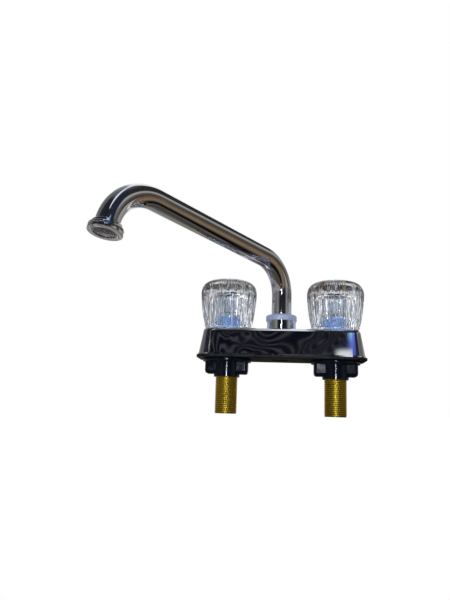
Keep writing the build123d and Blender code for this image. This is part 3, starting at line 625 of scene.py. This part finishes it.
class FAUCET_OT_knobs(bpy.types.Operator):
    """Make the two clear knobs with scallops outside and fine prisms inside"""

    bl_idname = "faucet.knobs"
    bl_label = "Clear knobs"

    foot, waist, widest, shoulder = 22.0 * MM, 25.4 * MM, 26.9 * MM, 11.5 * MM
    waist_share = 0.37
    cavity_foot, cavity_head, cavity_height, dome_height = 18.5 * MM, 15.8 * MM, 27.0 * MM, 33.5 * MM
    hub, hub_height, socket, screw_hole = 8.0 * MM, 16.3 * MM, 4.1 * MM, 2.25 * MM
    recess, recess_depth, counterbore = 9.0 * MM, 2.2 * MM, 4.5 * MM
    stem_top, screw_seat = 57.5 * MM, 62.5 * MM
    flutes, flute_radius, flute_depth, flute_tilt = 16, 6.2 * MM, 1.3 * MM, radians(5.5)

    def execute(self, context):
        sizes = context.scene.faucet_sizes
        for side, x in VALVES:
            low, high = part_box(f"{side}_knob")
            points = self.hollow(low.z) + self.outside(low.z, high.z) + self.middle(low.z, high.z)
            bm = spun_outline(points, x, 8 * sizes.prism_count)
            self.cut_relief(bm, sizes, x, low.z, high.z - self.shoulder)
            make_piece(bm, f"{side}_clear_knob", f"{side}_handle", "clear acrylic",
                       [f"{side}_knob"], 14)
        return {"FINISHED"}

    def hollow(self, foot_z):
        """Outline from the dome of the hollow down its wall."""
        rows, dome_rows, drawn_in = 10, 6, self.cavity_foot - self.cavity_head
        wall = [(self.cavity_foot - drawn_in * k / rows, foot_z + self.cavity_height * k / rows)
                for k in range(rows + 1)]
        reach, rise = self.cavity_head - self.hub, self.dome_height - self.cavity_height
        dome = [(self.hub + reach * cos(pi / 2 * k / dome_rows),
                 foot_z + self.cavity_height + rise * sin(pi / 2 * k / dome_rows))
                for k in range(1, dome_rows)]
        return (wall + dome)[::-1]

    def outside(self, foot_z, top_z):
        """Outline up the outside, a curve through foot, waist and widest ring, then the shoulder."""
        waist_z, widest_z, rows = foot_z + self.waist_share * (top_z - foot_z), top_z - self.shoulder, 18
        heights, radii = (foot_z, waist_z, widest_z), (self.foot, self.waist, self.widest)
        outline = [(self.foot - 0.8 * MM, foot_z), (self.foot - 0.2 * MM, foot_z + 0.35 * MM)]
        for k in range(1, rows):
            z = foot_z + (widest_z - foot_z) * k / rows
            radius = 0
            for here, value in zip(heights, radii):
                first, second = (other for other in heights if other != here)
                radius += value * (z - first) * (z - second) / ((here - first) * (here - second))
            outline.append((radius, z))
        return outline + arc_points((self.widest - self.shoulder, widest_z), self.shoulder, 0, 90, 12)

    def middle(self, foot_z, top_z):
        """Outline down the recess and the screw hole, and round the hub that takes the stem."""
        recess_z, hub_z = top_z - self.recess_depth, foot_z + self.hub_height
        return [
            (self.recess, top_z), (self.recess, recess_z), (self.counterbore, recess_z),
            (self.counterbore, self.screw_seat), (self.screw_hole, self.screw_seat),
            (self.screw_hole, self.stem_top), (self.socket, self.stem_top), (self.socket, hub_z),
            (self.hub, hub_z), (self.hub, foot_z + self.dome_height),
        ]

    def cut_relief(self, bm, sizes, x, foot_z, widest_z):
        """Cut prisms into the wall of the hollow, and flutes and ridges into the outside."""
        cavity_z = foot_z + self.cavity_height
        for vert in bm.verts:
            across = Vector((vert.co.x - x, vert.co.y))
            radius, angle, z = across.length, atan2(across.y, across.x), vert.co.z
            drawn_in = (self.cavity_foot - self.cavity_head) * (z - foot_z) / self.cavity_height
            wall = self.cavity_foot - drawn_in
            moved = radius
            if z <= cavity_z + 0.01 * MM and abs(radius - wall) < 0.05 * MM:
                moved = radius + teeth(angle, sizes.prism_count) * sizes.prism_depth
            elif radius > 11.0 * MM and (radius > wall + 1.0 * MM or z > cavity_z + 4 * MM):
                moved = min(radius, self.flute_radius_at(angle, z - widest_z, radius))
                if z > foot_z + 0.5 * MM:
                    moved -= teeth(angle, sizes.ridge_count) * sizes.ridge_depth
            across *= moved / radius
            vert.co.x, vert.co.y = x + across.x, across.y

    def flute_radius_at(self, angle, height, uncut):
        """How far out the nearest flute leaves the knob standing, at a height over its widest ring."""
        half = pi / self.flutes
        off = (angle + half) % (2 * half) - half
        reach = self.widest - self.flute_depth + self.flute_radius + height * tan(self.flute_tilt)
        if abs(reach * sin(off)) >= self.flute_radius:
            return uncut
        return reach * cos(off) - sqrt(self.flute_radius ** 2 - (reach * sin(off)) ** 2)


def softbox(name, place, size, power, colour, mirrored=True, through_acrylic=False):
    """A lamp that faces the faucet, and shows in polished metal or through the acrylic only if told."""
    lamp = bpy.data.lights.new(name, "AREA")
    lamp.shape = "ELLIPSE" if mirrored else "RECTANGLE"
    lamp.size, lamp.size_y = size
    lamp.energy = power
    lamp.color = colour
    holder = bpy.data.objects.new(name, lamp)
    holder.location = place
    holder.rotation_euler = (Vector(LAMP_AIM) - Vector(place)).to_track_quat("-Z", "Y").to_euler()
    holder.visible_glossy = mirrored
    holder.visible_transmission = through_acrylic
    bpy.context.scene.collection.objects.link(holder)


def painted_room(nodes, links, direction):
    """Colour of a studio and its dark front half, by the direction that a ray leaves in."""
    x, y, height = separated(nodes, links, direction)
    bearing = reckon(nodes, links, "ARCTAN2", x, product(nodes, links, y, -1.0))
    share = ranged(nodes, links, bearing, -pi, pi, smooth=False)

    def patch(bearings, rows):
        """Where a window of bearings meets a range of heights."""
        return product(nodes, links, window(nodes, links, share, *bearings), rows)

    stretch = node_input(nodes, "ShaderNodeMapping", Scale=(0.6, 0.6, 7.0))
    links.new(direction, stretch.inputs["Vector"])
    stacks = node_input(nodes, "ShaderNodeTexNoise", Scale=2.6, Detail=5.0, Distortion=0.4)
    links.new(stretch.outputs["Vector"], stacks.inputs["Vector"])
    goods = shade_ramp(nodes, links, stacks.outputs["Fac"], SHELVES)
    raised = ranged(nodes, links, height, 0.24, 0.32)
    room = cover_over(nodes, links, shade_ramp(nodes, links, share, WALLS), (
        (patch((0.722, 0.738, 0.785, 0.805), ranged(nodes, links, height, 0.42, 0.34)), goods),
        (patch((0.55, 0.60, 0.945, 0.965), ranged(nodes, links, height, 0.52, 0.62)), (0.018, 0.014, 0.014)),
        (patch((0.68, 0.71, 0.86, 0.90), window(nodes, links, height, 0.24, 0.30, 0.37, 0.42)),
         (0.13, 0.13, 0.125)),
        (patch((0.55, 0.57, 0.68, 0.71), raised), (0.006, 0.012, 0.035)),
        (patch((0.27, 0.31, 0.44, 0.45), raised), (0.006, 0.009, 0.018)),
    ))

    waves = node_input(nodes, "ShaderNodeTexNoise", Scale=9.0, Detail=1.5, Distortion=1.2)
    links.new(direction, waves.inputs["Vector"])
    rings = reckon(nodes, links, "SINE", product(nodes, links, waves.outputs["Fac"], 110.0))
    contours = ranged(nodes, links, rings, 0.2, 1.0, 0.0, 0.045)
    room = blend_colours(nodes, links, 1.0, room, contours, "ADD")

    blue = shade_ramp(nodes, links, ranged(nodes, links, height, 0.446, 0.488), BLUE_LIGHT)
    glare_rows = reckon(nodes, links, "ADD", window(nodes, links, height, 0.02, 0.06, 0.13, 0.16),
                        window(nodes, links, height, 0.42, 0.435, 0.4485, 0.456))
    tube_lamp = product(nodes, links, window(nodes, links, x, -0.07, -0.04, 0.03, 0.06),
                        ranged(nodes, links, height, 0.72, 0.77))
    return cover_over(nodes, links, room, (
        (patch((0.5190, 0.5203, 0.590, 0.620), window(nodes, links, height, 0.42, 0.438, 0.495, 0.53)), blue),
        (patch((0.5150, 0.5170, 0.5188, 0.5230), glare_rows), (0.90, 0.96, 1.0)),
        (ranged(nodes, links, height, 0.90, 0.97, 0.0, 0.5), (0.16, 0.18, 0.24)),
        (tube_lamp, (0.88, 0.94, 1.0)),
    ))


def make_studio_world():
    """White to the camera, soft light to matt surfaces, and a painted room in metal and acrylic."""
    world = bpy.data.worlds.new("studio")
    bpy.context.scene.world = world
    world.use_nodes = True
    nodes, links = world.node_tree.nodes, world.node_tree.links
    nodes.clear()
    place = nodes.new("ShaderNodeTexCoord")
    path = nodes.new("ShaderNodeLightPath")
    through, glossy = path.outputs["Is Transmission Ray"], path.outputs["Is Glossy Ray"]
    room = painted_room(nodes, links, place.outputs["Generated"])
    hazed = blend_colours(nodes, links, 0.5, room, (0.34, 0.36, 0.40))
    # The lamps aren't traced through the acrylic, so this stands for the light that it lets in.
    scattered = reckon(nodes, links, "GREATER_THAN", path.outputs["Diffuse Depth"], 0.5)
    hazed = blend_colours(nodes, links, scattered, hazed, (4.2, 4.4, 4.6))
    room = blend_colours(nodes, links, through, room, hazed)
    white = node_input(nodes, "ShaderNodeBackground", Color=(1, 1, 1, 1), Strength=1.0)
    studio = node_input(nodes, "ShaderNodeBackground", Strength=1.0)
    soft = node_input(nodes, "ShaderNodeBackground", Color=(0.95, 0.97, 1.0, 1), Strength=0.55)
    links.new(room, studio.inputs["Color"])
    rays = reckon(nodes, links, "MAXIMUM", glossy, through)
    bounce = shader_mix(nodes, links, rays, soft.outputs[0], studio.outputs[0])
    leave = nodes.new("ShaderNodeOutputWorld")
    links.new(shader_mix(nodes, links, path.outputs["Is Camera Ray"], bounce, white.outputs[0]),
              leave.inputs["Surface"])


def mirrored_bench(nodes, links, place):
    """Colour of the floor in polished metal: bands and streaks, the spot of a lamp, and pale far off."""
    x, y, _ = separated(nodes, links, place)
    across = ranged(nodes, links, x, *FLOOR_SPAN, smooth=False)
    bench = shade_ramp(nodes, links, across, FLOOR_ACROSS)
    drawn_out = node_input(nodes, "ShaderNodeMapping", Scale=(75.0, 1.2, 1.0))
    links.new(place, drawn_out.inputs["Vector"])
    lines = node_input(nodes, "ShaderNodeTexNoise", Scale=1.0, Detail=6.0)
    links.new(drawn_out.outputs["Vector"], lines.inputs["Vector"])
    streaks = ranged(nodes, links, lines.outputs["Fac"], 0.40, 0.60, 0.45, 1.60)
    bench = blend_colours(nodes, links, 1.0, bench, streaks, "MULTIPLY")
    beneath = product(nodes, links, window(nodes, links, x, -0.16, -0.10, 0.03, 0.055),
                      ranged(nodes, links, y, 0.03, -0.12))
    spot = node_input(nodes, "ShaderNodeMapping", Location=(-0.04, 0.40, 0))
    links.new(place, spot.inputs["Vector"])
    off_spot = node_input(nodes, "ShaderNodeVectorMath", operation="LENGTH")
    links.new(spot.outputs["Vector"], off_spot.inputs[0])
    return cover_over(nodes, links, bench, (
        (beneath, (0.07, 0.065, 0.058)),
        (ranged(nodes, links, off_spot.outputs["Value"], 0.07, 0.04), (0.95, 0.98, 1.0)),
        (ranged(nodes, links, y, 0.5, 1.6), (0.85, 0.84, 0.82)),
    ))


def make_floor_finish(colour):
    """White to the camera with a faint shadow, matt to the lamps, and a darker bench in polished metal."""
    material = bpy.data.materials.new("pale floor")
    material.use_nodes = True
    nodes, links = material.node_tree.nodes, material.node_tree.links
    nodes.clear()
    path = nodes.new("ShaderNodeLightPath")
    place = nodes.new("ShaderNodeTexCoord")
    matt = node_input(nodes, "ShaderNodeBsdfDiffuse", Color=(*colour, 1))
    glow = node_input(nodes, "ShaderNodeEmission", Color=(1, 1, 1, 1), Strength=1.25)
    bench = nodes.new("ShaderNodeEmission")
    links.new(mirrored_bench(nodes, links, place.outputs["Object"]), bench.inputs["Color"])
    amount = product(nodes, links, path.outputs["Is Camera Ray"], 0.65)
    pale = shader_mix(nodes, links, amount, matt.outputs[0], glow.outputs[0])
    leave = nodes.new("ShaderNodeOutputMaterial")
    links.new(shader_mix(nodes, links, path.outputs["Is Glossy Ray"], pale, bench.outputs[0]),
              leave.inputs["Surface"])
    return material


class FAUCET_OT_stage(bpy.types.Operator):
    """Make the camera, the floor, the lamps and the pale surroundings"""

    bl_idname = "faucet.stage"
    bl_label = "Stage"

    def execute(self, context):
        context.scene.view_settings.view_transform = "Standard"
        self.set_camera(context.scene)
        self.lay_floor(context.scene)
        make_studio_world()
        softbox("key", (-0.7, -0.9, 1.1), (0.5, 0.5), 9.0, (1, 0.99, 0.97), mirrored=False)
        softbox("rear", (0.3, 1.1, 1.0), (1.3, 1.0), 6.0, (1, 1, 1), mirrored=False, through_acrylic=True)
        softbox("flash", (0.01, -1.3, 0.225), (0.016, 0.08), 0.20, (0.84, 0.91, 1.0))
        softbox("low flash", (0.01, -1.3, 0.035), (0.024, 0.060), 4.8, (0.84, 0.91, 1.0))
        return {"FINISHED"}

    def set_camera(self, scene):
        """Camera at the photograph's viewing angle."""
        yaw, pitch, roll = (radians(CAMERA[key]) for key in ("yaw", "pitch", "roll"))
        level = Vector((cos(yaw), sin(yaw), 0))
        ahead = Vector((-sin(yaw), cos(yaw), 0))
        up = Vector((0, 0, 1))
        forward = ahead * cos(pitch) + up * sin(pitch)
        tilted = -ahead * sin(pitch) + up * cos(pitch)
        right = level * cos(roll) + tilted * sin(roll)
        over = -level * sin(roll) + tilted * cos(roll)
        data = bpy.data.cameras.new("camera")
        data.sensor_fit = "AUTO"
        data.sensor_width = SENSOR
        data.lens = FOCAL_PIXELS * SENSOR / PICTURE_HEIGHT
        data.clip_start = 0.01
        camera = bpy.data.objects.new("camera", data)
        turned = Matrix((right, over, -forward)).transposed().to_4x4()
        camera.matrix_world = Matrix.Translation([value * MM for value in CAMERA["place"]]) @ turned
        scene.collection.objects.link(camera)
        scene.camera = camera

    def lay_floor(self, scene):
        """Floor under the ends of the shanks."""
        low = min(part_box(f"{side}_shank")[0].z for side, _ in VALVES)
        bm = bmesh.new()
        bmesh.ops.create_grid(bm, x_segments=1, y_segments=1, size=6.0)
        bmesh.ops.translate(bm, verts=bm.verts, vec=(0, 0, low))
        mesh = bpy.data.meshes.new("floor")
        bm.to_mesh(mesh)
        bm.free()
        mesh.materials.append(make_floor_finish(tuple(scene.faucet_colours.floor)))
        floor = bpy.data.objects.new("floor", mesh)
        scene.collection.objects.link(floor)


class FAUCET_PT_panel(bpy.types.Panel):
    """Sizes, colours and steps of the faucet"""

    bl_idname = "FAUCET_PT_panel"
    bl_label = "Utility sink faucet"
    bl_space_type = "VIEW_3D"
    bl_region_type = "UI"
    bl_category = "Faucet"

    def draw(self, context):
        column = self.layout.column()
        for group in (context.scene.faucet_sizes, context.scene.faucet_colours):
            for name in group.__annotations__:
                column.prop(group, name)
        for step in STEPS:
            column.operator(step.bl_idname)


STEPS = (
    FAUCET_OT_finishes,
    FAUCET_OT_shanks,
    FAUCET_OT_spout_nut,
    FAUCET_OT_hose_end,
    FAUCET_OT_knobs,
    FAUCET_OT_stage,
)
CLASSES = (FaucetSizes, FaucetColours) + STEPS + (FAUCET_PT_panel,)


def register():
    """Add the classes, and the sizes and colours of a scene."""
    for item in CLASSES:
        bpy.utils.register_class(item)
    bpy.types.Scene.faucet_sizes = bpy.props.PointerProperty(type=FaucetSizes)
    bpy.types.Scene.faucet_colours = bpy.props.PointerProperty(type=FaucetColours)


def unregister():
    """Take away what register adds."""
    del bpy.types.Scene.faucet_colours
    del bpy.types.Scene.faucet_sizes
    for item in reversed(CLASSES):
        bpy.utils.unregister_class(item)


def main():
    """Build the faucet and its stage."""
    register()
    bpy.ops.faucet.finishes()
    bpy.ops.faucet.shanks()
    bpy.ops.faucet.spout_nut()
    bpy.ops.faucet.hose_end()
    bpy.ops.faucet.knobs()
    bpy.ops.faucet.stage()
    bpy.context.view_layer.update()


if __name__ == "__main__":
    main()
